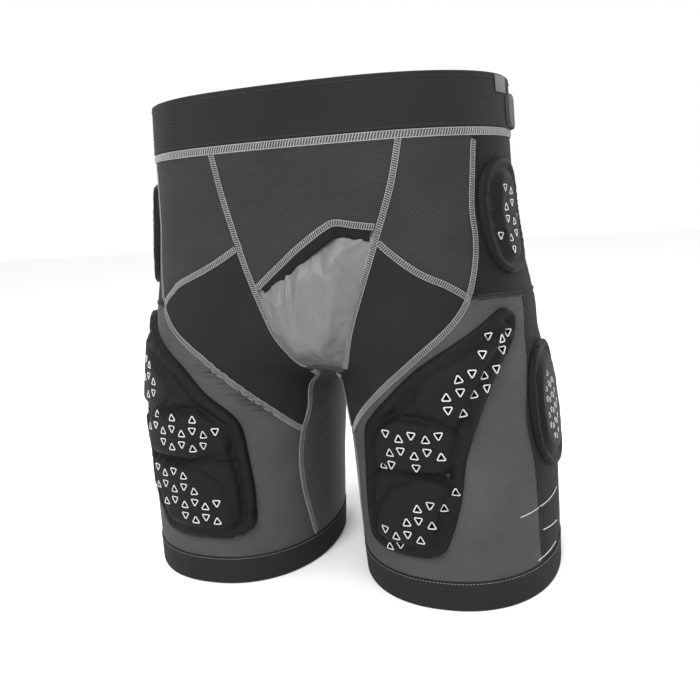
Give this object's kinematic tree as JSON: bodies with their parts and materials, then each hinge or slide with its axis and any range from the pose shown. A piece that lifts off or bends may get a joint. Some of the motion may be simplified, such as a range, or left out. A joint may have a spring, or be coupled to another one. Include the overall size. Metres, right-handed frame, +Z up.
{
  "type": "padded impact shorts",
  "caption": "Stretch undershorts with foam pads on thighs, hips, outer legs and tail, flatlock seams, and hook-and-loop waist adjusters.",
  "frame": {"origin": "on the floor under the middle of the object, between the two hems", "axes": "+Z up; -Y is the wearer's front; +X is the wearer's left"},
  "size_m": [0.4038, 0.2562, 0.43],
  "materials": {
    "mesh_cloth": "matte open-knit stretch mesh",
    "plain_cloth": "matte smooth stretch jersey",
    "pad_cloth": "matte brushed stretch cloth over foam",
    "band_cloth": "matte ribbed elastic webbing",
    "satin_cloth": "satin stretch lining cloth",
    "tape_cloth": "matte flatlock thread ladder",
    "foam": "matte closed-cell foam",
    "loop_cloth": "fuzzy loop pile",
    "hook_cloth": "matte moulded hook tape",
    "label_cloth": "woven satin label"
  },
  "bodies": {
    "shorts": {"waistband": "band_cloth", "waist_seam": "tape_cloth", "centre_front_panel": "mesh_cloth", "pouch": "satin_cloth", "fly_binding": "pad_cloth", "fly_seam": "tape_cloth", "hip_panel_front_left": "mesh_cloth", "thigh_panel_front_left": "plain_cloth", "side_panel_left": "pad_cloth", "seat_panel_left": "plain_cloth", "leg_mesh_left": "mesh_cloth", "leg_back_left": "plain_cloth", "inner_thigh_gusset_left": "satin_cloth", "hem_cuff_left": "band_cloth", "front_seam_left": "tape_cloth", "thigh_seam_left": "tape_cloth", "side_seam_left": "tape_cloth", "leg_seam_left": "tape_cloth", "inner_thigh_seam_left": "tape_cloth", "thigh_pad_upper_foam_left": "foam", "thigh_pad_middle_foam_left": "foam", "thigh_pad_lower_foam_left": "foam", "thigh_pad_cover_left": "pad_cloth", "hip_pad_foam_left": "foam", "hip_pad_cover_left": "pad_cloth", "outer_thigh_pad_foam_left": "foam", "outer_thigh_pad_cover_left": "pad_cloth", "loop_patch_left": "loop_cloth", "hip_panel_front_right": "mesh_cloth", "thigh_panel_front_right": "plain_cloth", "side_panel_right": "pad_cloth", "seat_panel_right": "plain_cloth", "leg_mesh_right": "mesh_cloth", "leg_back_right": "plain_cloth", "inner_thigh_gusset_right": "satin_cloth", "hem_cuff_right": "band_cloth", "front_seam_right": "tape_cloth", "thigh_seam_right": "tape_cloth", "side_seam_right": "tape_cloth", "leg_seam_right": "tape_cloth", "inner_thigh_seam_right": "tape_cloth", "thigh_pad_upper_foam_right": "foam", "thigh_pad_middle_foam_right": "foam", "thigh_pad_lower_foam_right": "foam", "thigh_pad_cover_right": "pad_cloth", "hip_pad_foam_right": "foam", "hip_pad_cover_right": "pad_cloth", "outer_thigh_pad_foam_right": "foam", "outer_thigh_pad_cover_right": "pad_cloth", "loop_patch_right": "loop_cloth", "tail_pad_foam": "foam", "tail_pad_cover": "pad_cloth", "side_label": "label_cloth"},
    "adjuster_left": {"adjuster_tab_left": "band_cloth", "hook_patch_left": "hook_cloth"},
    "adjuster_right": {"adjuster_tab_right": "band_cloth", "hook_patch_right": "hook_cloth"}
  },
  "joints": [
    {"name": "adjuster_left_peel", "type": "hinge", "parent": "shorts", "child": "adjuster_left", "pos_m": [0.15506, 0.03613, 0.403], "axis": [-0.0571, 0.0274, 0.998], "range_deg": [0, 110]},
    {"name": "adjuster_right_peel", "type": "hinge", "parent": "shorts", "child": "adjuster_right", "pos_m": [-0.15506, 0.03613, 0.403], "axis": [-0.0571, -0.0274, -0.998], "range_deg": [0, 110]}
  ]
}
